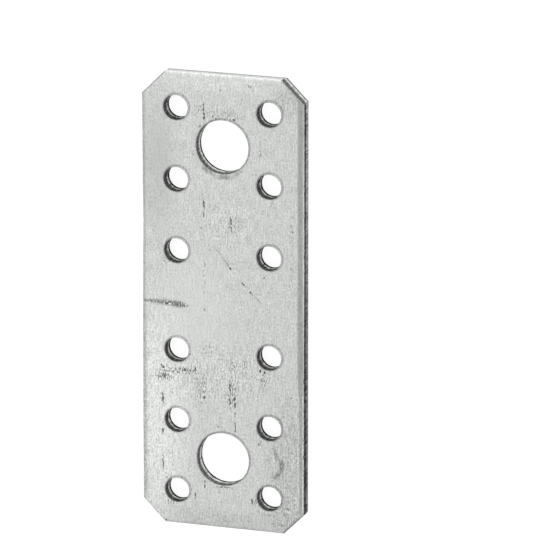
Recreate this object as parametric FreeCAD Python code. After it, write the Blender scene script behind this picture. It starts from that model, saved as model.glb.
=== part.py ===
# Flat mending plate for timber: one piece, cropped and punched from zinc-coated steel strip.
# Origin at the centre of the back face, +X across the width, +Y along the length, +Z out of
# the front face. All cutting was done from the front, so every cut edge has the same section:
# the front face rolls over, a narrow lip turns down into a smooth straight land, and below
# the land the metal broke away, so the rough wall leans back as far as the back face.
import FreeCAD, Part
import math
import os

# Blank, in millimetres
length = 96.0
width = 35.0
thickness = 3.0
corner_clip = 5.0            # each corner is cut off at 45 degrees, this far along both edges

# Screw holes: two columns, with the rows counted from each end
screw_hole_radius = 2.5
screw_side_margin = 7.5      # from the long edge to the centre of the hole
screw_end_margin = 7.5       # from the end to the first row
screw_row_pitch = 15.0
rows_per_end = 3

# Bolt holes: one on the centre line at each end, midway between its first two rows
bolt_hole_radius = 5.5

# Long edges, slit from a wide coil: a broad, flat roll-over
slit_roll_width = 1.25
slit_roll_drop = 0.20
slit_break_lean = 0.05

# Ends, cropped by a shear: a narrower roll-over
crop_roll_width = 0.50
crop_roll_drop = 0.12
crop_break_lean = 0.18

# Clipped corners: a slight roll-over
clip_roll_width = 0.40
clip_roll_drop = 0.06
clip_break_lean = 0.05

# Holes: a conical roll-over round each mouth
punch_roll_width = 0.50
punch_roll_drop = 0.05
screw_break_lean = 0.05
bolt_break_lean = 0.12

# Shared by every cut edge
lip_radius = 0.15
land_depth = 1.30            # from the front face to where the broken wall begins

spare = 1.0                  # how far tools and stock run past the finished faces


def section_points(roll_width, roll_drop, break_lean):
    # Points of a cut edge from the front face to the back, as pairs: how far out of the metal
    # from the land, and height above the back face. The lip points lie on an arc that touches
    # the sloping roll-over and the upright land.
    slope = math.atan2(roll_drop, roll_width)
    turn = math.pi / 2 - slope
    tangent = lip_radius * math.tan(turn / 2)
    corner_height = thickness - roll_drop
    lip_centre_height = corner_height - tangent
    return {
        "front": (-roll_width, thickness),
        "lip_start": (-tangent * math.cos(slope), corner_height + tangent * math.sin(slope)),
        "lip_middle": (
            -lip_radius + lip_radius * math.cos(turn / 2),
            lip_centre_height + lip_radius * math.sin(turn / 2),
        ),
        "land_top": (0.0, lip_centre_height),
        "land_bottom": (0.0, thickness - land_depth),
        "back": (-break_lean, 0.0),
    }


def tool_face(points, reach, place, round_lip):
    # Closed face of what a cut takes away, with the section on one side and straight lines
    # that clear the metal on the others. place turns a pair of section numbers into a point.
    at = {name: place(*pair) for name, pair in points.items()}
    above = thickness + spare
    front_clear = place(points["front"][0], above)
    back_clear = place(points["back"][0], -spare)
    far_back = place(reach, -spare)
    far_front = place(reach, above)
    if round_lip:
        lip = Part.Arc(at["lip_start"], at["lip_middle"], at["land_top"]).toShape()
    else:
        lip = Part.makeLine(at["lip_start"], at["land_top"])
    edges = [
        Part.makeLine(front_clear, at["front"]),
        Part.makeLine(at["front"], at["lip_start"]),
        lip,
        Part.makeLine(at["land_top"], at["land_bottom"]),
        Part.makeLine(at["land_bottom"], at["back"]),
        Part.makeLine(at["back"], back_clear),
        Part.makeLine(back_clear, far_back),
        Part.makeLine(far_back, far_front),
        Part.makeLine(far_front, front_clear),
    ]
    return Part.Face(Part.Wire(edges))


def edge_tool(distance, angle, points):
    # Prism that trims everything beyond a straight edge. distance is from the plate's centre
    # to the edge, and angle is the direction that the edge faces, in degrees from +X.
    outward = FreeCAD.Vector(math.cos(math.radians(angle)), math.sin(math.radians(angle)), 0)
    along = FreeCAD.Vector(-outward.y, outward.x, 0)
    reach = length + width

    def place(out, height):
        return outward * (distance + out) - along * reach + FreeCAD.Vector(0, 0, height)

    return tool_face(points, reach, place, True).extrude(along * (2 * reach))


def hole_tool(x, y, radius, points):
    # Turned slug that a punch takes out: wider where the hole's mouth rolls over and where the
    # wall broke away. Its lip is a plain bevel, because the fourteen holes need few facets.
    def place(out, height):
        return FreeCAD.Vector(x + radius - out, y, height)

    axis_point = FreeCAD.Vector(x, y, 0)
    slug = tool_face(points, radius, place, False)
    return slug.revolve(axis_point, FreeCAD.Vector(0, 0, 1), 360)


def blank():
    # Strip slit to width, cropped to length and clipped at its corners.
    stock = Part.makeBox(
        width + 2 * spare,
        length + 2 * spare,
        thickness,
        FreeCAD.Vector(-width / 2 - spare, -length / 2 - spare, 0),
    )
    slit = section_points(slit_roll_width, slit_roll_drop, slit_break_lean)
    crop = section_points(crop_roll_width, crop_roll_drop, crop_break_lean)
    clip = section_points(clip_roll_width, clip_roll_drop, clip_break_lean)
    clip_distance = (width / 2 + length / 2 - corner_clip) / math.sqrt(2)
    tools = []
    for angle in (0, 180):
        tools.append(edge_tool(width / 2, angle, slit))
    for angle in (90, 270):
        tools.append(edge_tool(length / 2, angle, crop))
    for angle in (45, 135, 225, 315):
        tools.append(edge_tool(clip_distance, angle, clip))
    return stock.cut(tools)


def plate():
    screw = section_points(punch_roll_width, punch_roll_drop, screw_break_lean)
    bolt = section_points(punch_roll_width, punch_roll_drop, bolt_break_lean)
    column = width / 2 - screw_side_margin
    first_row = length / 2 - screw_end_margin
    rows = [first_row - step * screw_row_pitch for step in range(rows_per_end)]
    bolt_row = first_row - screw_row_pitch / 2
    tools = []
    for end in (1, -1):
        for side in (-1, 1):
            for row in rows:
                tools.append(hole_tool(side * column, end * row, screw_hole_radius, screw))
        tools.append(hole_tool(0.0, end * bolt_row, bolt_hole_radius, bolt))
    return blank().cut(tools)


finished = plate()
solid = finished.Solids[0]
print("solids", len(finished.Solids), "valid", solid.isValid(), "volume mm3", round(solid.Volume, 1))
print("box", solid.BoundBox)
os.makedirs("parts", exist_ok=True)
solid.exportStep("parts/plate.step")
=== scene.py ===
import math

import bmesh
import bpy
from mathutils import Matrix, Vector, noise


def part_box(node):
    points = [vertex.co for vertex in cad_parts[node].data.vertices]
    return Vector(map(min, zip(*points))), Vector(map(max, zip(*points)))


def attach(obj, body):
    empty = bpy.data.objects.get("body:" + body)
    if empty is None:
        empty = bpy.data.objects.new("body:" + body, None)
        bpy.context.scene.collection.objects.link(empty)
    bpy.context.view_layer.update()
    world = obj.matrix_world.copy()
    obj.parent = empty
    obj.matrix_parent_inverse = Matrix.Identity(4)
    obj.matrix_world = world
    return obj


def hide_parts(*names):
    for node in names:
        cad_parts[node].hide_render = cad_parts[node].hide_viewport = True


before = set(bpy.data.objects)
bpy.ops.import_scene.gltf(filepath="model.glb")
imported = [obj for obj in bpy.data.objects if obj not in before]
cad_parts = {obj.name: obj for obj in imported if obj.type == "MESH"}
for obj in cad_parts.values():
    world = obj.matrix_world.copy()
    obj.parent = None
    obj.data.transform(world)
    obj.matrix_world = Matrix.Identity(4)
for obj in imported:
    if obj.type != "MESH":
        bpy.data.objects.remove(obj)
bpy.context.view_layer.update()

# Flat mending plate of zinc-coated steel, lying on a white floor.
# Shapes and patterns are worked out in millimetres in the plate's own frame: +X across it, +Y
# along it, +Z out of the front face, and the origin in the middle of the back face.
mm = 0.001

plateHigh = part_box("plate")[1]
plateHalfWidth = plateHigh[0] / mm
plateHalfLength = plateHigh[1] / mm
plateTop = plateHigh[2] / mm


# sRGB hex, as a screen colour is written, to the linear values that shaders take
def hexToLinear(code):
    linear = []
    for start in (0, 2, 4):
        value = int(code[start:start + 2], 16) / 255
        linear.append(value / 12.92 if value <= 0.04045 else ((value + 0.055) / 1.055) ** 2.4)
    return (*linear, 1.0)


# Adds one node. settings are its own; inputs are values, or outputs of other nodes to link.
def addNode(tree, kind, settings=None, inputs=None):
    node = tree.nodes.new(kind)
    for name, value in (settings or {}).items():
        setattr(node, name, value)
    for socket, value in (inputs or {}).items():
        if isinstance(value, bpy.types.NodeSocket):
            tree.links.new(value, node.inputs[socket])
        else:
            node.inputs[socket].default_value = value
    return node


def newMaterial(name):
    material = bpy.data.materials.new(name)
    material.use_nodes = True
    material.node_tree.nodes.clear()
    return material, material.node_tree


# Shape of the plate

plateShape = {
    "cornerClip": 5.0,
    "screwRadius": 2.53,         # a punched hole comes out a little over its nominal size
    "screwColumn": 10.0,
    "screwRows": (40.5, 25.5, 10.5),
    "boltRadius": 5.54,
    "boltRow": 33.0,
    "flatBand": 0.25,            # flat strip beside each roll-over, which keeps the shading smooth
    "rollSteps": 4,
    "lipSteps": 5,
    "outlineStep": 0.33,         # distance between points along the outline
    "cornerBlend": 3,            # points beside a corner over which two sides run together
    "fewestSteps": 8,            # along a side of the outline
    "screwPoints": 88,
    "boltPoints": 176,
    "sharpAngle": 35,            # degrees between two faces from which their edge is shaded sharp
}

# How the metal rolled over and broke at each kind of cut. lip is the radius between roll-over and
# land, land the depth from the front face to the foot of the smooth land, and lean how far the
# broken wall below has gone back at the bottom. A round roll-over steepens towards the lip and a
# flat one is an even slope. coatedLip is how many of the lip's steps keep the zinc.
cuts = {
    "slit": {"rollWidth": 1.25, "rollDrop": 0.20, "round": False, "lip": 0.15, "land": 1.30,
             "lean": 0.0, "coatedLip": 4, "finish": "slitSteelEdge"},
    "rolledSlit": {"rollWidth": 1.25, "rollDrop": 0.14, "round": True, "lip": 0.15, "land": 1.30,
                   "lean": 0.02, "coatedLip": 4, "finish": "slitSteelEdge"},
    "crop": {"rollWidth": 0.50, "rollDrop": 0.12, "round": False, "lip": 0.15, "land": 1.30,
             "lean": 0.18, "coatedLip": 5, "finish": "croppedSteelEnd"},
    "rolledCrop": {"rollWidth": 0.80, "rollDrop": 0.05, "round": True, "lip": 0.10, "land": 1.30,
                   "lean": 0.18, "coatedLip": 5, "finish": "croppedSteelEnd"},
    "clip": {"rollWidth": 0.40, "rollDrop": 0.06, "round": False, "lip": 0.15, "land": 1.30,
             "lean": 0.02, "coatedLip": 0, "finish": "clippedSteelCorner"},
    "topClip": {"rollWidth": 0.40, "rollDrop": 0.04, "round": False, "lip": 0.08, "land": 1.05,
                "lean": 0.0, "coatedLip": 0, "finish": "clippedSteelCorner"},
    "softClip": {"rollWidth": 0.40, "rollDrop": 0.03, "round": False, "lip": 0.08, "land": 1.30,
                 "lean": 0.02, "coatedLip": 5, "finish": "clippedSteelCorner"},
    "screw": {"rollWidth": 0.50, "rollDrop": 0.05, "round": True, "lip": 0.09, "land": 1.30,
              "lean": 0.0, "coatedLip": 0, "finish": "punchedScrewWall"},
    "bolt": {"rollWidth": 0.50, "rollDrop": 0.05, "round": True, "lip": 0.09, "land": 1.30,
             "lean": 0.07, "coatedLip": 0, "finish": "punchedBoltWall"},
}

# The eight sides in turn from +X: kind of cut, and how far inside the nominal line it came
sideCuts = (
    ("slit", 0.12), ("topClip", -0.11), ("crop", 0.04), ("clip", 0.12),
    ("rolledSlit", 0.06), ("softClip", 0.11), ("rolledCrop", 0.34), ("clip", -0.22),
)

# The slitting wasn't dead straight: how much further inside the -X side lies at places along Y
slitWander = ((-48.0, -0.05), (-20.0, -0.05), (-8.0, -0.01), (6.0, 0.08), (16.0, 0.20), (26.0, 0.12),
              (40.0, 0.08), (48.0, 0.05))

# Along the upper half of the +X side the wall leans more: how far its front comes further out
slitSpread = ((-16.0, 0.0), (14.0, 0.05))

# The +X roll-over narrows towards both ends: place along Y, share of its width
slitNarrowing = ((-48.0, 0.70), (-20.0, 0.72), (-12.0, 1.0), (42.0, 1.0), (46.0, 0.60))

roughWall = {
    "rows": 6,
    "footWave": 0.24,            # how far the land's foot wanders up and down
    "footWaveLength": 0.9,
    "waveFade": 1.8,             # the wave is whole at the foot and fades out towards the back
    "spreadFade": 1.7,           # and so does the further lean of the +X side
    "tearDepth": 0.10,           # hollows torn into the broken wall
    "tearSize": 0.35,
    "lipWave": 0.08,             # the lip's line wanders inwards
    "lipWaveLength": 0.55,
    "backWave": 0.03,            # and so does the sharp edge at the back
    "backWaveLength": 0.6,
    "sideZone": 0.5,             # how far in from a long side its own wander and nicks reach
    "nickLength": 0.35,
    "nicks": ((0.11, 11.4), (0.16, -14.9), (0.07, 24.6), (0.08, -31.0)),  # depth, place along +X side
}


# Value at a place in a list of pairs, eased from each one to the next
def eased(pairs, place):
    for (low, first), (high, second) in zip(pairs, pairs[1:]):
        if place < high:
            share = max(0.0, (place - low) / (high - low))
            return first + (second - first) * share * share * (3 - 2 * share)
    return pairs[-1][1]


# Rows of a cut edge from the front face to the back: distance out of the metal, height, part
def sectionRows(name):
    cut = cuts[name]
    width, drop, radius = cut["rollWidth"], cut["rollDrop"], cut["lip"]
    slope = math.atan2(drop * (2 if cut["round"] else 1), width)
    turn = math.pi / 2 - slope
    reach = radius * math.tan(turn / 2)
    centreHeight = plateTop - drop - reach
    rows = [(-width - plateShape["flatBand"], plateTop, "front"), (-width, plateTop, "flat")]
    rollEnd = reach * math.cos(slope)
    for step in range(1, plateShape["rollSteps"] + 1):
        share = step / (plateShape["rollSteps"] + 1) * (1 - rollEnd / width)
        fallen = share * share if cut["round"] else share
        rows.append((-width * (1 - share), plateTop - drop * fallen, "roll"))
    for step in range(plateShape["lipSteps"] + 1):
        angle = turn * (1 - step / plateShape["lipSteps"])
        rows.append((radius * (math.cos(angle) - 1), centreHeight + radius * math.sin(angle), "lip"))
    foot = plateTop - cut["land"]
    rows.append((0.0, (centreHeight + foot) / 2, "land"))
    rows.append((0.0, foot, "foot"))
    for step in range(1, roughWall["rows"] + 1):
        share = step / roughWall["rows"]
        part = "broken" if step < roughWall["rows"] else "back"
        rows.append((-cut["lean"] * share, foot * (1 - share), part))
    return rows


# One point of a row, with its share of the unevenness that shearing leaves
def shearedPoint(flat, outward, out, height, part):
    if part in ("foot", "broken"):
        wave = noise.noise(flat / roughWall["footWaveLength"]) * roughWall["footWave"]
        height += wave * height / plateTop * roughWall["waveFade"]
    # Hole walls face the same ways as the long sides, but lie further in.
    if outward.x < -0.99 and flat.x < roughWall["sideZone"] - plateHalfWidth:
        out -= eased(slitWander, flat.y)
    if part in ("lip", "land"):
        out -= abs(noise.noise(flat / roughWall["lipWaveLength"])) * roughWall["lipWave"]
        if outward.x > 0.99 and flat.x > plateHalfWidth - roughWall["sideZone"]:
            for depth, place in roughWall["nicks"]:
                out -= depth * math.exp(-((flat.y - place) / roughWall["nickLength"]) ** 2)
    if part == "broken":
        at = Vector((flat.x, flat.y, height)) / roughWall["tearSize"]
        out -= abs(noise.noise(at)) * roughWall["tearDepth"]
    if part == "back":
        out -= abs(noise.noise(flat / roughWall["backWaveLength"])) * roughWall["backWave"]
    return flat + outward * out + Vector((0, 0, height))


# A ring of points for each row round a hole, front to back
def holeRings(x, y, radius, cut, count):
    rings = []
    for out, height, part in sectionRows(cut):
        ring = []
        for index in range(count):
            angle = 2 * math.pi * index / count
            outward = Vector((-math.cos(angle), -math.sin(angle), 0))
            flat = Vector((x, y, 0)) - outward * radius
            ring.append(shearedPoint(flat, outward, out, height, part))
        rings.append((ring, part))
    return rings


# A ring of points for each row round the plate. Every side has its own section, and its line
# is crossed with the next side's again for each row, so that the corners stay mitred.
def outlineRings():
    clip = (plateHalfWidth + plateHalfLength - plateShape["cornerClip"]) / math.sqrt(2)
    nominal = (plateHalfWidth, clip, plateHalfLength, clip)
    sides = []
    for number, (cut, inside) in enumerate(sideCuts):
        angle = math.radians(45 * number)
        outward = Vector((math.cos(angle), math.sin(angle), 0))
        sides.append((outward, nominal[number % 4] - inside, sectionRows(cut), cut))

    def crossing(first, second, row):
        a, b = first[0], second[0]
        reachA = first[1] + (0 if row is None else first[2][row][0])
        reachB = second[1] + (0 if row is None else second[2][row][0])
        turn = a.x * b.y - a.y * b.x
        return Vector(((reachA * b.y - reachB * a.y) / turn, (a.x * reachB - b.x * reachA) / turn, 0))

    steps = []
    cutAt = []
    for number, side in enumerate(sides):
        start = crossing(sides[number - 1], side, None)
        end = crossing(side, sides[(number + 1) % 8], None)
        steps.append(max(plateShape["fewestSteps"],
                         round((end - start).length / plateShape["outlineStep"])))
        cutAt += [side[3]] * steps[number]
    rings = []
    for row in range(len(sides[0][2])):
        part = sides[0][2][row][2]
        ring = []
        for number, side in enumerate(sides):
            last, following = sides[number - 1], sides[(number + 1) % 8]
            start = crossing(last, side, row)
            end = crossing(side, following, row)
            for index in range(steps[number]):
                share = index / steps[number]
                out, height = side[2][row][:2]
                # Beside a corner the heights of the two sides run together.
                blend = min(1, min(index, steps[number] - index) / plateShape["cornerBlend"])
                neighbour = (last if share < 0.5 else following)[2][row][1]
                height = (height + neighbour) / 2 + (height - neighbour) / 2 * blend
                outward = side[0] if index else (side[0] + last[0]).normalized()
                at = start.lerp(end, share)
                moved = 0.0
                if number == 0 and index:
                    upright = part not in ("broken", "back")
                    fade = 1 if upright else height / plateTop * roughWall["spreadFade"]
                    moved = eased(slitSpread, at.y) * fade
                if number == 0 and index and part in ("front", "flat", "roll"):
                    kept = eased(slitNarrowing, at.y)
                    moved -= out * (1 - kept)
                    height = plateTop - (plateTop - height) * kept
                ring.append(shearedPoint(at, outward, moved, height, part))
        rings.append((ring, part))
    return rings, cutAt


# Skins the rings with four-sided faces and gives back the first and the last ring
def skinRings(mesh, rings, cutAt, inside):
    rows = []
    for ring, part in rings:
        rows.append([mesh.verts.new(point * mm) for point in ring])
    finishes = list(edgeLooks)
    for row in range(len(rows) - 1):
        part = rings[row + 1][1]
        lipStep = row - 1 - plateShape["rollSteps"]
        upper, lower = rows[row], rows[row + 1]
        for index in range(len(upper)):
            after = (index + 1) % len(upper)
            corners = [upper[index], lower[index], lower[after], upper[after]]
            if inside:
                corners.reverse()
            face = mesh.faces.new(corners)
            face.smooth = True
            cut = cuts[cutAt[index]]
            coated = part in ("flat", "roll") or (part == "lip" and lipStep <= cut["coatedLip"])
            face.material_index = 0 if coated else 1 + finishes.index(cut["finish"])
    return rows[0], rows[-1]


def buildPlate():
    mesh = bmesh.new()
    rings, cutAt = outlineRings()
    bands = [skinRings(mesh, rings, cutAt, False)]
    for end in (1, -1):
        for side in (-1, 1):
            for row in plateShape["screwRows"]:
                rings = holeRings(side * plateShape["screwColumn"], end * row,
                                  plateShape["screwRadius"], "screw", plateShape["screwPoints"])
                bands.append(skinRings(mesh, rings, ["screw"] * plateShape["screwPoints"], True))
        rings = holeRings(0.0, end * plateShape["boltRow"],
                          plateShape["boltRadius"], "bolt", plateShape["boltPoints"])
        bands.append(skinRings(mesh, rings, ["bolt"] * plateShape["boltPoints"], True))
    # The flat front is filled between the first rings, and the flat back between the last.
    for level, up in ((0, 1), (1, -1)):
        edges = []
        for band in bands:
            ring = band[level]
            for index, vertex in enumerate(ring):
                edges.append(mesh.edges.get((vertex, ring[(index + 1) % len(ring)])))
        filled = bmesh.ops.triangle_fill(mesh, use_beauty=True, edges=edges, normal=(0, 0, up))
        for item in filled["geom"]:
            if isinstance(item, bmesh.types.BMFace):
                item.normal_update()
                if item.normal.z * up < 0:
                    item.normal_flip()
                item.smooth = True
    mesh.normal_update()
    for edge in mesh.edges:
        edge.smooth = edge.calc_face_angle(math.pi) < math.radians(plateShape["sharpAngle"])
    data = bpy.data.meshes.new("galvanisedPlate")
    mesh.to_mesh(data)
    mesh.free()
    plate = bpy.data.objects.new("galvanisedPlate", data)
    bpy.context.scene.collection.objects.link(plate)
    return plate


# Finish of the flat faces and roll-overs

# Zinc-coated steel strip, skin-passed between rolls after coating: the eye sees an even, satin
# pale grey with no spangle, a fine grain and faint streaks along the rolling direction, with
# scuffs where plates slid against each other and the press. The real grain is under 0.1 mm and
# is drawn two to three times as coarse, or it wouldn't show.
zincLook = {
    "dark": "8E908E",
    "light": "FDFFFD",
    "roughness": 0.30,
    "grainWidth": 0.32,
    "grainLength": 0.50,
    "grainTone": 0.80,
    "streakWidth": 0.24,
    "streakLength": 2.6,
    "streakTone": 0.55,
    "mottleWidth": 1.3,
    "mottleLength": 2.4,
    "mottleTone": 0.22,
    "middle": 0.565,             # where the plain coat lies between dark and light
    "relief": 0.006,             # height of grain and streaks
    "mouthShadeTone": -0.42,          # painted shade in a ring round each hole, and how far out it lies
    "screwMouthReach": 0.26,
    "boltMouthReach": 0.18,
    "mouthWidth": 0.30,
    "mouthShadeShift": 0.17,          # how far up and to the right of the hole the painted shade is centred, on the side where the roll-over faces away from the light
    "scuffDark": "727571",
    "scuffLight": "FFFFFF",
    "scuffRagged": 0.12,         # how far a scuff's outline wanders
    "raggedPerMm": 2.6,
    "scuffReach": (0.75, 0.60),  # a scuff fades at its rim, so its oval is wider and longer
    "scuffFull": 0.6,            # how deep inside its oval a scuff is at its full strength
    "cloudFull": 0.8,
    "speckWidth": 0.22,          # the upright dashes that a scuff breaks up into
    "speckLength": 0.60,
    "speckSwing": 1.2,
    "darkRange": (0.30, 0.92),   # scuff and speck together, from no mark to a dark one
    "burnishRange": (0.35, 0.95),
    "burnishMost": 0.8,
    "scuffRoughness": 0.2,       # how much rougher a dark mark is than the coat
    "scuffDepth": 0.012,
}

# Stains, broad changes of tone and some painted light and shade: x, y, length, width, turn from the +Y
# direction in degrees, how much paler, and how much coarser the grain is
zincClouds = (
    # The paler lower left (first row), the darker lower right (third row) and the darker upper left
    # (sixth row) are painted light. They stand in for the face's reflection of the lights, which grows
    # brighter towards the lower left.
    (-14.5, -24.0, 64.0, 20.0, 0, 0.20, 0.7),
    (-6.0, -2.0, 34.0, 22.0, 0, 0.06, -0.4),
    (15.0, -34.0, 46.0, 16.0, 0, -0.13, 0.6),
    (0.0, 46.5, 6.5, 44.0, 0, 0.09, 0.1),
    (14.0, 43.5, 9.0, 12.0, 45, -0.10, 0.3),
    (-14.0, 28.0, 40.0, 12.0, 0, -0.13, -0.5),
    (0.0, -46.5, 8.0, 44.0, 0, -0.13, 0.0),
    (1.0, 17.0, 14.0, 18.0, 0, 0.0, 0.6),
    (-1.0, -15.0, 16.0, 30.0, 0, 0.0, 0.9),
    (0.0, 39.8, 4.0, 14.0, 0, -0.05, 0.9),
    # stain across the middle of the left edge
    (-9.6, -0.84, 4.8, 2.10, 86, -0.60, 0.3),
    (-12.2, -0.66, 8.0, 1.90, 89, -0.56, 0.3),
    (-15.6, -0.56, 5.6, 1.20, 90, -0.42, 0.3),
    # dried drop beside the lower bolt hole
    (11.4, -30.6, 4.4, 1.2, 16, -0.35, 0.1),
    (12.7, -33.2, 4.0, 1.3, 0, -0.56, 0.1),
    (11.6, -35.4, 4.0, 1.4, -40, -0.40, 0.1),
    # smudges beside the bolt holes
    (0.3, 26.75, 5.2, 1.5, 90, -0.42, 0.8),
    (-3.2, 27.8, 4.6, 1.5, 58, -0.42, 0.6),
    (3.4, 27.8, 3.4, 1.1, -60, -0.24, 0.6),
    # painted light and shade along the roll-overs of the long edges: a paler strip low on the +X side,
    # painted shade down the -X side, and a painted highlight along the +X lip
    (16.8, -34.0, 46.0, 2.0, 0, 0.20, 0.0),
    (-16.9, -24.0, 66.0, 1.9, 0, -0.20, 0.0),
    (17.28, 16.0, 76.0, 0.8, 0, 0.34, 0.0),
    # scratches across the middle
    (-0.8, 10.9, 4.2, 0.48, 43, -0.27, 0.0),
    (1.0, 8.6, 4.6, 0.50, 37, -0.33, 0.0),
    (7.6, 1.6, 5.4, 0.46, 48, -0.30, 0.0),
)

# Scuffs and small stains: x, y, length, width, turn from the +Y direction in degrees, strength
zincScuffs = (
    # stain across the middle of the left edge
    (-8.7, -1.02, 2.8, 0.42, 87, 0.85),
    (-9.0, -0.50, 2.2, 0.34, 84, 0.62),
    (-11.8, -0.86, 3.4, 0.36, 88, 0.72),
    (-11.9, -0.42, 2.8, 0.32, 91, 0.68),
    (-15.0, -0.60, 3.6, 0.44, 90, 0.62),
    # between the top end and the upper bolt hole
    (-3.9, 39.2, 2.0, 0.44, 0, 1.0),
    (-4.4, 40.6, 2.2, 2.4, 0, 0.36),
    (2.5, 38.9, 0.65, 0.50, 70, 1.0),
    (5.8, 46.1, 1.2, 0.55, 60, 0.55),
    (-0.5, 44.8, 0.6, 0.45, 0, 0.55),
    (-4.5, 37.4, 1.8, 0.50, -45, 0.55),
    (9.5, 46.8, 1.8, 4.4, 0, 0.18),
    (-4.0, 41.2, 3.0, 0.34, 0, 0.85),
    (8.1, 33.0, 5.0, 0.36, 0, 0.45),
    (-6.3, 31.5, 4.0, 0.50, 0, 0.40),
    (-1.9, 39.1, 2.6, 0.34, 58, 0.55),
    # from the upper bolt hole to the middle
    (-4.0, 20.7, 2.6, 0.38, 0, 0.95),
    (-4.0, 18.6, 2.0, 0.32, 0, 0.70),
    (-4.6, 15.5, 0.9, 0.32, 8, 0.55),
    (1.8, 17.7, 2.2, 0.38, 0, 1.0),
    (1.9, 16.0, 1.5, 0.38, 0, 0.90),
    (2.2, 17.0, 5.0, 3.6, 0, 0.28),
    (14.9, 17.0, 8.0, 0.9, 0, 0.30),
    (14.9, 7.0, 11.0, 0.9, 0, 0.30),
    (-12.3, 8.3, 2.2, 1.8, 0, 0.36),
    (-3.9, 8.1, 0.9, 0.34, 0, 0.60),
    (-4.0, 4.0, 10.0, 0.40, 0, 0.34),
    (1.7, 7.8, 1.1, 0.40, 30, 0.85),
    (4.5, 4.6, 1.6, 0.40, 43, 0.78),
    (6.0, 2.9, 1.5, 0.42, 43, 0.85),
    (9.0, 6.4, 0.5, 0.50, 0, 1.0),
    (8.6, 13.6, 0.5, 0.42, 20, 0.55),
    (10.4, 21.3, 0.9, 0.30, 0, 0.65),
    (-4.0, -1.6, 2.6, 0.40, 0, 0.48),
    # round the holes below the middle
    (-13.1, -14.3, 1.4, 0.55, 40, 0.95),
    (-12.7, -16.2, 1.6, 1.20, 70, 0.80),
    (-13.0, -16.4, 2.6, 4.6, 0, 0.46),
    (-12.8, -15.1, 4.6, 0.55, 90, 0.42),
    (-9.0, -14.9, 2.0, 9.0, 0, 0.47),
    (-9.3, -14.4, 1.3, 0.34, 10, 0.70),
    (-8.2, -14.6, 1.0, 0.60, 12, 1.0),
    (-6.0, -14.3, 1.5, 0.42, 0, 1.0),
    (-13.1, -21.1, 2.9, 0.62, 2, 0.82),
    (-4.0, -20.4, 1.5, 0.38, 0, 0.75),
    (-4.6, -18.8, 9.0, 2.6, 0, 0.36),
    (1.55, -17.3, 3.6, 0.40, 0, 0.85),
    (1.55, -20.7, 2.4, 0.32, 0, 0.90),
    (1.9, -12.2, 1.8, 0.32, 0, 0.70),
    (2.3, -12.9, 3.6, 2.0, 0, 0.32),
    (2.0, -19.2, 8.0, 2.4, 0, 0.38),
    (2.55, -19.7, 1.0, 0.50, 0, 1.0),
    (2.6, -21.1, 1.6, 0.42, 0, 0.90),
    (2.6, -23.0, 1.6, 0.30, 0, 0.70),
    (4.8, -13.0, 5.0, 1.0, 0, 0.36),
    (-3.2, -10.0, 4.0, 2.4, 0, 0.28),
    (8.1, -13.3, 1.4, 0.42, 0, 0.80),
    (9.0, -13.7, 0.7, 0.56, 0, 0.80),
    (8.7, -15.2, 4.0, 1.6, 0, 0.42),
    (8.8, -15.3, 1.8, 0.48, 5, 0.60),
    (15.0, -18.6, 1.4, 0.30, 60, 0.55),
    # lower third
    (-13.1, -28.2, 1.7, 0.46, 0, 0.80),
    (-12.8, -27.0, 2.0, 1.2, 0, 0.36),
    (-13.1, -35.0, 3.6, 0.36, 2, 0.75),
    (2.6, -25.9, 3.4, 0.32, 0, 0.75),
    (-4.0, -38.8, 2.3, 0.38, 0, 0.75),
    (-6.1, -41.3, 1.6, 0.42, 6, 0.75),
    (6.3, -41.4, 1.6, 0.42, 5, 0.90),
    (6.6, -41.6, 2.8, 2.0, 0, 0.38),
    (12.1, -32.3, 1.6, 0.50, 25, 0.42),
    (12.9, -33.4, 1.7, 0.70, 0, 0.42),
    (7.8, -28.8, 2.2, 1.6, 0, 0.38),
    (9.8, -43.7, 1.2, 4.4, 0, 0.40),
    (13.8, -42.6, 3.4, 2.8, 0, 0.38),
    (13.0, -45.6, 3.0, 6.0, 0, 0.30),
    (-11.5, -43.3, 1.4, 2.4, 0, 0.40),
    (-12.0, -38.0, 2.8, 1.4, 45, 0.30),
    (-12.5, -47.2, 0.7, 0.40, 45, 0.75),
    (0.3, -39.0, 5.0, 0.34, 90, 0.70),
    (-0.6, -26.2, 2.2, 0.34, 84, 0.50),
)


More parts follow.
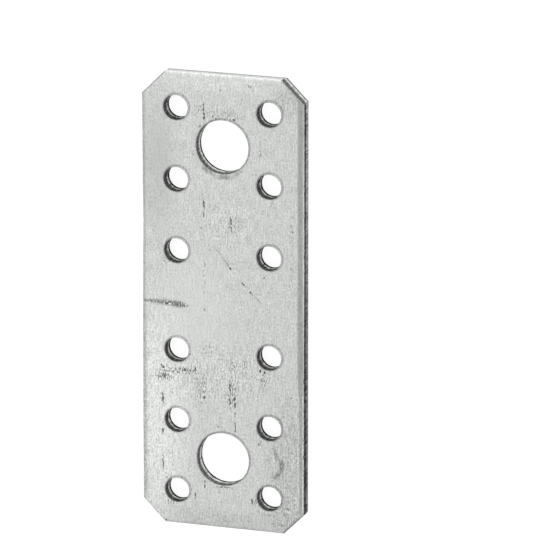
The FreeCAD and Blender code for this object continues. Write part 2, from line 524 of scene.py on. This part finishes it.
def zincMaterial():
    material, tree = newMaterial("zincCoatedSteel")
    coords = addNode(tree, "ShaderNodeTexCoord")
    inMm = addNode(tree, "ShaderNodeVectorMath", {"operation": "SCALE"},
                   {0: coords.outputs["Object"], "Scale": 1 / mm})
    # Coordinates that a fine noise pushes about, so that no mark has a clean outline
    wander = addNode(tree, "ShaderNodeTexNoise", None,
                     {"Vector": inMm.outputs[0], "Scale": zincLook["raggedPerMm"], "Detail": 2.0})
    centred = addNode(tree, "ShaderNodeVectorMath", {"operation": "SUBTRACT"},
                      {0: wander.outputs["Color"], 1: (0.5, 0.5, 0.5)})
    pushed = addNode(tree, "ShaderNodeVectorMath", {"operation": "SCALE"},
                     {0: centred.outputs[0], "Scale": zincLook["scuffRagged"] * 2})
    ragged = addNode(tree, "ShaderNodeVectorMath", None, {0: inMm.outputs[0], 1: pushed.outputs[0]})

    # How strongly a place lies in an oval mark: 1 in the middle, 0 from its rim on
    def oval(x, y, length, width, turn):
        placed = addNode(tree, "ShaderNodeMapping", {"vector_type": "TEXTURE"},
                         {"Vector": ragged.outputs[0], "Location": (x, y, plateTop),
                          "Rotation": (0, 0, math.radians(turn)), "Scale": (width, length, 1)})
        return addNode(tree, "ShaderNodeTexGradient", {"gradient_type": "SPHERICAL"},
                       {"Vector": placed.outputs[0]})

    # Stains, broad changes of tone and painted light and shade, and with them the strength of the grain
    tone = None
    coarse = None
    for x, y, length, width, turn, paler, coarser in zincClouds:
        spot = oval(x, y, length / 2, width / 2, turn)
        soft = addNode(tree, "ShaderNodeMapRange", {"interpolation_type": "SMOOTHSTEP"},
                       {"Value": spot.outputs["Fac"], "From Max": zincLook["cloudFull"]})
        tone = addNode(tree, "ShaderNodeMath", {"operation": "MULTIPLY_ADD"},
                       {0: soft.outputs[0], 1: paler, 2: tone.outputs[0] if tone else 0.0})
        coarse = addNode(tree, "ShaderNodeMath", {"operation": "MULTIPLY_ADD"},
                         {0: soft.outputs[0], 1: coarser, 2: coarse.outputs[0] if coarse else 1.0})
    # Mottle, grain and streaks
    relief = None
    for name in ("mottle", "grain", "streak"):
        stretched = addNode(tree, "ShaderNodeMapping", None,
                            {"Vector": inMm.outputs[0],
                             "Scale": (1 / zincLook[name + "Width"], 1 / zincLook[name + "Length"], 1)})
        pattern = addNode(tree, "ShaderNodeTexNoise", None,
                          {"Vector": stretched.outputs[0], "Scale": 1.0, "Detail": 2.0})
        centred = addNode(tree, "ShaderNodeMath", {"operation": "SUBTRACT"},
                          {0: pattern.outputs["Fac"], 1: 0.5})
        relief = addNode(tree, "ShaderNodeMath", {"operation": "MULTIPLY_ADD"},
                         {0: centred.outputs[0], 1: zincLook[name + "Tone"],
                          2: relief.outputs[0] if relief else 0.0})
    relief = addNode(tree, "ShaderNodeMath", {"operation": "MULTIPLY"},
                     {0: relief.outputs[0], 1: coarse.outputs[0]})
    tone = addNode(tree, "ShaderNodeMath", None, {0: relief.outputs[0], 1: tone.outputs[0]})
    # Painted shade round the mouths: a dark ring round each hole, set up and to the right of it, on the
    # side where the roll-over faces away from the light. The lower half is lifted by 66 mm onto the upper
    # half, and the rows and columns there are wrapped into one cell with a single screw hole to measure
    # from: the lowest row of the upper half, in the right-hand column.
    split = addNode(tree, "ShaderNodeSeparateXYZ", None, {0: inMm.outputs[0]})
    isLower = addNode(tree, "ShaderNodeMath", {"operation": "LESS_THAN"}, {0: split.outputs["Y"], 1: 0.0})
    lifted = addNode(tree, "ShaderNodeMath", {"operation": "MULTIPLY_ADD"},
                     {0: isLower.outputs[0], 1: 2 * plateShape["boltRow"], 2: split.outputs["Y"]})
    halved = addNode(tree, "ShaderNodeCombineXYZ", None,
                     {0: split.outputs["X"], 1: lifted.outputs[0], 2: split.outputs["Z"]})
    column = plateShape["screwColumn"]
    lowRow = plateShape["screwRows"][2]
    halfPitch = (plateShape["screwRows"][1] - lowRow) / 2
    repeated = addNode(tree, "ShaderNodeVectorMath", {"operation": "WRAP"},
                       {0: halved.outputs[0], 1: (2 * column, lowRow + halfPitch, 2 * plateTop),
                        2: (0.0, lowRow - halfPitch, 0.0)})
    shift = zincLook["mouthShadeShift"]
    for coordinates, x, y, radius in (
            (repeated, column, lowRow,
             plateShape["screwRadius"] + zincLook["screwMouthReach"]),
            (halved, 0.0, plateShape["boltRow"],
             plateShape["boltRadius"] + zincLook["boltMouthReach"])):
        reach = addNode(tree, "ShaderNodeVectorMath", {"operation": "DISTANCE"},
                        {0: coordinates.outputs[0], 1: (x + shift, y + shift, plateTop)})
        offset = addNode(tree, "ShaderNodeMath", {"operation": "SUBTRACT"},
                         {0: reach.outputs["Value"], 1: radius})
        apart = addNode(tree, "ShaderNodeMath", {"operation": "ABSOLUTE"}, {0: offset.outputs[0]})
        # painted shade: darkens the coat in a ring round the mouth
        ring = addNode(tree, "ShaderNodeMapRange", {"interpolation_type": "SMOOTHSTEP"},
                       {"Value": apart.outputs[0], "From Max": zincLook["mouthWidth"],
                        "To Min": zincLook["mouthShadeTone"], "To Max": 0.0})
        tone = addNode(tree, "ShaderNodeMath", None, {0: ring.outputs[0], 1: tone.outputs[0]})
    share = addNode(tree, "ShaderNodeMath", None, {0: tone.outputs[0], 1: zincLook["middle"]})
    coat = addNode(tree, "ShaderNodeMix", {"data_type": "RGBA"},
                   {"Factor": share.outputs[0], "A": hexToLinear(zincLook["dark"]),
                    "B": hexToLinear(zincLook["light"])})
    scuffed = None
    wider, longer = zincLook["scuffReach"]
    for x, y, length, width, turn, strength in zincScuffs:
        spot = oval(x, y, length * longer, width * wider, turn)
        soft = addNode(tree, "ShaderNodeMapRange", None,
                       {"Value": spot.outputs["Fac"], "From Max": zincLook["scuffFull"],
                        "To Max": strength})
        scuffed = soft if scuffed is None else addNode(
            tree, "ShaderNodeMath", {"operation": "MAXIMUM"},
            {0: soft.outputs[0], 1: scuffed.outputs[0]})
    # Where the specks' noise is high a scuff is dark, and where it is low the coat is burnished.
    specks = addNode(tree, "ShaderNodeMapping", None,
                     {"Vector": inMm.outputs[0],
                      "Scale": (1 / zincLook["speckWidth"], 1 / zincLook["speckLength"], 1)})
    grain = addNode(tree, "ShaderNodeTexNoise", None,
                    {"Vector": specks.outputs[0], "Scale": 1.0, "Detail": 2.0})
    swing = addNode(tree, "ShaderNodeMapRange", {"clamp": False},
                    {"Value": grain.outputs["Fac"], "To Min": -zincLook["speckSwing"],
                     "To Max": zincLook["speckSwing"]})
    rises = addNode(tree, "ShaderNodeMath", None, {0: scuffed.outputs[0], 1: swing.outputs[0]})
    falls = addNode(tree, "ShaderNodeMath", {"operation": "SUBTRACT"},
                    {0: scuffed.outputs[0], 1: swing.outputs[0]})
    dark = addNode(tree, "ShaderNodeMapRange", {"interpolation_type": "SMOOTHSTEP"},
                   {"Value": rises.outputs[0], "From Min": zincLook["darkRange"][0],
                    "From Max": zincLook["darkRange"][1]})
    burnished = addNode(tree, "ShaderNodeMapRange", {"interpolation_type": "SMOOTHSTEP"},
                        {"Value": falls.outputs[0], "From Min": zincLook["burnishRange"][0],
                         "From Max": zincLook["burnishRange"][1], "To Max": zincLook["burnishMost"]})
    polished = addNode(tree, "ShaderNodeMix", {"data_type": "RGBA"},
                       {"Factor": burnished.outputs[0], "A": coat.outputs[2],
                        "B": hexToLinear(zincLook["scuffLight"])})
    colour = addNode(tree, "ShaderNodeMix", {"data_type": "RGBA"},
                     {"Factor": dark.outputs[0], "A": polished.outputs[2],
                      "B": hexToLinear(zincLook["scuffDark"])})
    roughness = addNode(tree, "ShaderNodeMath", {"operation": "MULTIPLY_ADD"},
                        {0: dark.outputs[0], 1: zincLook["scuffRoughness"], 2: zincLook["roughness"]})
    height = addNode(tree, "ShaderNodeMath", {"operation": "MULTIPLY_ADD"},
                     {0: dark.outputs[0], 1: -zincLook["scuffDepth"] / zincLook["relief"],
                      2: relief.outputs[0]})
    bump = addNode(tree, "ShaderNodeBump", None,
                   {"Height": height.outputs[0], "Strength": 1.0, "Distance": zincLook["relief"] * mm})
    shader = addNode(tree, "ShaderNodeBsdfPrincipled", None,
                     {"Base Color": colour.outputs[2], "Metallic": 1.0,
                      "Roughness": roughness.outputs[0], "Normal": bump.outputs[0]})
    addNode(tree, "ShaderNodeOutputMaterial", None, {"Surface": shader.outputs[0]})
    return material


# Finish of the cut edges

# Sheared steel, bare of zinc: the eye sees a smooth land under the lip, with fine marks that the
# blade drew down it, then a grainy broken wall with another tone, down to its rim at the back.
# The cuts differ: the cropped ends are bright, and the slit edges and hole walls dark, partly as bare
# steel rubbed by the blade and the punch and partly as painted shade for the dark surroundings that these
# walls mirrored. bands are the heights above the back where the rim ends, the broken wall begins, it ends
# and the land begins; on the hole walls the dark rim is painted shade where the wall meets the floor.
# lowerBroken is the tone of broken wall and rim towards the lower end. By drift the land reaches further
# down there. mottle is how strongly blotches show, and brokenMottle how much of that is left on the
# broken wall. grazing tints what the metal mirrors at a flat angle; the dark tints on the slit edges and
# hole walls hold back the white floor's reflection, which is painted shade too.
edgeLooks = {
    # partly painted shade: the slit edge's dark land and grazing tint stand for the dark surroundings it
    # mirrored
    "slitSteelEdge": {"land": "646564", "broken": "C6C8C6", "rim": "AEB0AE", "lowerBroken": "9C9E9C",
                      "bands": (0.41, 0.69, 1.35, 1.75), "drift": 0.6,
                      "mottle": 4.4, "brokenMottle": 0.5, "roughness": 0.50, "grazing": "484A48"},
    "croppedSteelEnd": {"land": "DCDEDC", "broken": "949694", "rim": "7E807E",
                        "bands": (0.30, 0.70, 1.20, 1.75), "drift": 0.0,
                        "mottle": 0.6, "roughness": 0.30, "grazing": "FFFFFF"},
    "clippedSteelCorner": {"land": "787A78", "broken": "E8EAE8", "rim": "8A8C8A",
                           "bands": (0.41, 0.69, 1.35, 1.75), "drift": 0.0,
                           "mottle": 1.3, "roughness": 0.50, "grazing": "A8AAA8"},
    # partly painted shade: the hole walls' dark lands and grazing tints, and their near-black rims, which
    # stand for shade where the wall meets the floor
    "punchedScrewWall": {"land": "686A68", "broken": "DCDEDC", "rim": "161716",
                         "bands": (0.60, 0.97, 1.15, 1.70), "drift": 0.0,
                         "mottle": 2.2, "roughness": 0.55, "grazing": "484A48"},
    "punchedBoltWall": {"land": "7A7C7A", "broken": "F8FAF8", "rim": "2A2B2A",
                        "bands": (0.50, 0.90, 1.45, 1.80), "drift": 0.0,
                        "mottle": 2.2, "roughness": 0.50, "grazing": "686A68"},
}
edgeDetail = {
    "metallic": 0.8,             # bare steel, dulled by a film of oil
    "bladeMark": 0.33,           # marks down the land, three times as far apart as real, to show
    "bladeMarkLength": 2.5,
    "grain": 0.25,               # grain of the broken wall
    "wander": 1.1,               # length over which the bands wander
    "bandWander": 0.7,           # how far up and down they wander
    "driftSpan": (5.0, -35.0),   # along Y, where the drift begins and is whole
    "lowerSpan": (24.0, 2.0),    # along Y, where the lower end's tones begin and are whole
    "blotchSpan": 0.8,           # spread of the patterns that a mottle of 1 needs for its most
    "blotchMost": 0.9,
    "relief": 0.05,
}


def edgeMaterial(name, look):
    material, tree = newMaterial(name)
    coords = addNode(tree, "ShaderNodeTexCoord")
    inMm = addNode(tree, "ShaderNodeVectorMath", {"operation": "SCALE"},
                   {0: coords.outputs["Object"], "Scale": 1 / mm})
    place = addNode(tree, "ShaderNodeSeparateXYZ", None, {0: inMm.outputs[0]})
    wander = addNode(tree, "ShaderNodeTexNoise", None,
                     {"Vector": inMm.outputs[0], "Scale": 1 / edgeDetail["wander"], "Detail": 3.0})
    height = addNode(tree, "ShaderNodeMath", {"operation": "MULTIPLY_ADD"},
                     {0: wander.outputs["Fac"], 1: edgeDetail["bandWander"], 2: place.outputs["Z"]})
    drifted = addNode(tree, "ShaderNodeMapRange", None,
                      {"Value": place.outputs["Y"], "From Min": edgeDetail["driftSpan"][0],
                       "From Max": edgeDetail["driftSpan"][1], "To Max": look["drift"]})
    raised = addNode(tree, "ShaderNodeMath", None, {0: height.outputs[0], 1: drifted.outputs[0]})
    share = addNode(tree, "ShaderNodeMath", {"operation": "DIVIDE"},
                    {0: raised.outputs[0], 1: plateTop + edgeDetail["bandWander"]})
    # One ramp of tones up the wall for the upper end and one for the lower end
    lowerRim = look.get("lowerBroken", look["rim"])
    lowerBroken = look.get("lowerBroken", look["broken"])
    ramps = []
    for rim, broken in ((look["rim"], look["broken"]), (lowerRim, lowerBroken)):
        tones = addNode(tree, "ShaderNodeValToRGB", None, {0: share.outputs[0]})
        stops = tones.color_ramp.elements
        for number, (level, code) in enumerate(zip(look["bands"], (rim, broken, broken, look["land"]))):
            position = (level + edgeDetail["bandWander"] / 2) / (plateTop + edgeDetail["bandWander"])
            stop = stops.new(position) if number in (1, 2) else stops[0 if number == 0 else -1]
            stop.position = position
            # The ramp's alpha tells how strongly the blotches show.
            blotched = 1.0 if number == 3 else look.get("brokenMottle", 1.0)
            stop.color = (*hexToLinear(code)[:3], blotched)
        ramps.append(tones)
    lower = addNode(tree, "ShaderNodeMapRange", None,
                    {"Value": place.outputs["Y"], "From Min": edgeDetail["lowerSpan"][0],
                     "From Max": edgeDetail["lowerSpan"][1]})
    bands = addNode(tree, "ShaderNodeMix", {"data_type": "RGBA"},
                    {"Factor": lower.outputs[0], "A": ramps[0].outputs[0], "B": ramps[1].outputs[0]})
    drawn = addNode(tree, "ShaderNodeMapping", None,
                    {"Vector": inMm.outputs[0],
                     "Scale": (1 / edgeDetail["bladeMark"], 1 / edgeDetail["bladeMark"],
                               1 / edgeDetail["bladeMarkLength"])})
    blade = addNode(tree, "ShaderNodeTexNoise", None,
                    {"Vector": drawn.outputs[0], "Scale": 1.0, "Detail": 1.0})
    grain = addNode(tree, "ShaderNodeTexNoise", None,
                    {"Vector": inMm.outputs[0], "Scale": 1 / edgeDetail["grain"], "Detail": 3.0})
    relief = addNode(tree, "ShaderNodeMath", None, {0: blade.outputs["Fac"], 1: grain.outputs["Fac"]})
    span = edgeDetail["blotchSpan"] / look["mottle"]
    shade = addNode(tree, "ShaderNodeMapRange", None,
                    {"Value": relief.outputs[0], "From Min": 1 - span, "From Max": 1 + span,
                     "To Min": -edgeDetail["blotchMost"], "To Max": edgeDetail["blotchMost"]})
    scaled = addNode(tree, "ShaderNodeMath", {"operation": "MULTIPLY_ADD"},
                     {0: shade.outputs[0], 1: ramps[0].outputs["Alpha"], 2: 1.0})
    colour = addNode(tree, "ShaderNodeVectorMath", {"operation": "SCALE"},
                     {0: bands.outputs[2], "Scale": scaled.outputs[0]})
    bump = addNode(tree, "ShaderNodeBump", None,
                   {"Height": relief.outputs[0], "Strength": 1.0, "Distance": edgeDetail["relief"] * mm})
    shader = addNode(tree, "ShaderNodeBsdfPrincipled", None,
                     {"Base Color": colour.outputs[0], "Metallic": edgeDetail["metallic"],
                      "Roughness": look["roughness"], "Specular Tint": hexToLinear(look["grazing"]),
                      "Normal": bump.outputs[0]})
    addNode(tree, "ShaderNodeOutputMaterial", None, {"Surface": shader.outputs[0]})
    return material


plate = buildPlate()
print("plate built:", len(plate.data.polygons), "faces")
plate.data.materials.append(zincMaterial())
for name, look in edgeLooks.items():
    plate.data.materials.append(edgeMaterial(name, look))
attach(plate, "root")
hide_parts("plate")
print("plate finished:", len(plate.data.materials), "materials")


# Floor: matt white paper, which the eye sees as an even white. The camera and the metal see it at
# full white, with the plate's shadow kept.
floorLook = {
    "size": 4000.0,
    "height": -0.02,             # a hair below the back face, so that the two don't coincide
    "colour": "A0A0A0",          # what the lamps light
    "shown": 0.88,               # what is added to that where the floor is seen
}


def buildFloor():
    data = bpy.data.meshes.new("studioFloor")
    half = floorLook["size"] / 2 * mm
    height = floorLook["height"] * mm
    data.from_pydata([(-half, -half, height), (half, -half, height), (half, half, height),
                      (-half, half, height)], [], [(0, 1, 2, 3)])
    floor = bpy.data.objects.new("studioFloor", data)
    bpy.context.scene.collection.objects.link(floor)
    material, tree = newMaterial("whitePaper")
    matt = addNode(tree, "ShaderNodeBsdfDiffuse", None, {"Color": hexToLinear(floorLook["colour"])})
    path = addNode(tree, "ShaderNodeLightPath")
    direct = addNode(tree, "ShaderNodeMath", {"operation": "MAXIMUM"},
                     {0: path.outputs["Is Camera Ray"], 1: path.outputs["Is Glossy Ray"]})
    seen = addNode(tree, "ShaderNodeMath", {"operation": "MAXIMUM"},
                   {0: direct.outputs[0], 1: path.outputs["Is Transmission Ray"]})
    strength = addNode(tree, "ShaderNodeMath", {"operation": "MULTIPLY"},
                       {0: seen.outputs[0], 1: floorLook["shown"]})
    glow = addNode(tree, "ShaderNodeEmission", None, {"Strength": strength.outputs[0]})
    both = addNode(tree, "ShaderNodeAddShader", None, {0: matt.outputs[0], 1: glow.outputs[0]})
    addNode(tree, "ShaderNodeOutputMaterial", None, {"Surface": both.outputs[0]})
    data.materials.append(material)


# Light: a pale room and soft boxes. The front face shows the camera the long one overhead, and
# the slopes at the edges turn away from it. The others fill in from the sides. level is how
# bright the room or a box looks, where 1 is white.
roomLevel = 0.468
softBoxes = {
    "overhead": {"place": (-380.0, 0.0, 900.0), "size": (340.0, 1200.0), "level": 0.69},
    "overTopEnd": {"place": (-300.0, 420.0, 900.0), "size": (400.0, 500.0), "level": 0.30},
    "leftSide": {"place": (-800.0, -100.0, 450.0), "size": (600.0, 600.0), "level": 0.30},
    "rightSide": {"place": (650.0, -200.0, 750.0), "size": (350.0, 350.0), "level": 1.35},
    "lowerEnd": {"place": (-100.0, -850.0, 450.0), "size": (600.0, 600.0), "level": 0.25},
    "topEnd": {"place": (-400.0, 850.0, 400.0), "size": (500.0, 500.0), "level": 3.0},
}


def buildLight():
    world = bpy.data.worlds.new("paleRoom")
    bpy.context.scene.world = world
    world.use_nodes = True
    tree = world.node_tree
    tree.nodes.clear()
    room = addNode(tree, "ShaderNodeBackground", None,
                   {"Color": hexToLinear("FFFFFF"), "Strength": roomLevel})
    addNode(tree, "ShaderNodeOutputWorld", None, {"Surface": room.outputs[0]})
    for name, box in softBoxes.items():
        lamp = bpy.data.lights.new(name, "AREA")
        lamp.shape = "RECTANGLE"
        lamp.size = box["size"][0] * mm
        lamp.size_y = box["size"][1] * mm
        lamp.energy = box["level"] * math.pi * lamp.size * lamp.size_y
        soft = bpy.data.objects.new(name, lamp)
        away = Vector(box["place"]).normalized()     # each box faces the plate
        across = Vector((0, 1, 0)).cross(away).normalized()
        turn = Matrix((across, away.cross(across), away)).transposed().to_4x4()
        soft.matrix_world = Matrix.Translation(Vector(box["place"]) * mm) @ turn
        bpy.context.scene.collection.objects.link(soft)


# Camera: at the photograph's viewing angle, above the plate, to its right and past its top end
cameraSetup = {
    "aim": (11.48, 7.02, 3.0),   # where the middle of the picture falls, on the front face
    "swing": 19.00,              # degrees to the right of straight above
    "rise": 15.32,               # degrees towards the top end
    "distance": 1216.7,
    "lens": 391.3,
    "sensor": 36.0,
}


def buildCamera():
    swing = math.radians(cameraSetup["swing"])
    rise = math.radians(cameraSetup["rise"])
    back = Vector((math.sin(swing) * math.cos(rise), math.sin(rise), math.cos(swing) * math.cos(rise)))
    right = Vector((0, 1, 0)).cross(back).normalized()
    turn = Matrix((right, back.cross(right), back)).transposed().to_4x4()
    data = bpy.data.cameras.new("camera")
    data.sensor_width = cameraSetup["sensor"]
    data.lens = cameraSetup["lens"]
    data.clip_start = 0.01
    data.clip_end = 50.0
    camera = bpy.data.objects.new("camera", data)
    place = (Vector(cameraSetup["aim"]) + back * cameraSetup["distance"]) * mm
    camera.matrix_world = Matrix.Translation(place) @ turn
    bpy.context.scene.collection.objects.link(camera)
    bpy.context.scene.camera = camera


buildFloor()
buildLight()
buildCamera()
bpy.context.scene.view_settings.view_transform = "Standard"
print("floor, light and camera ready")
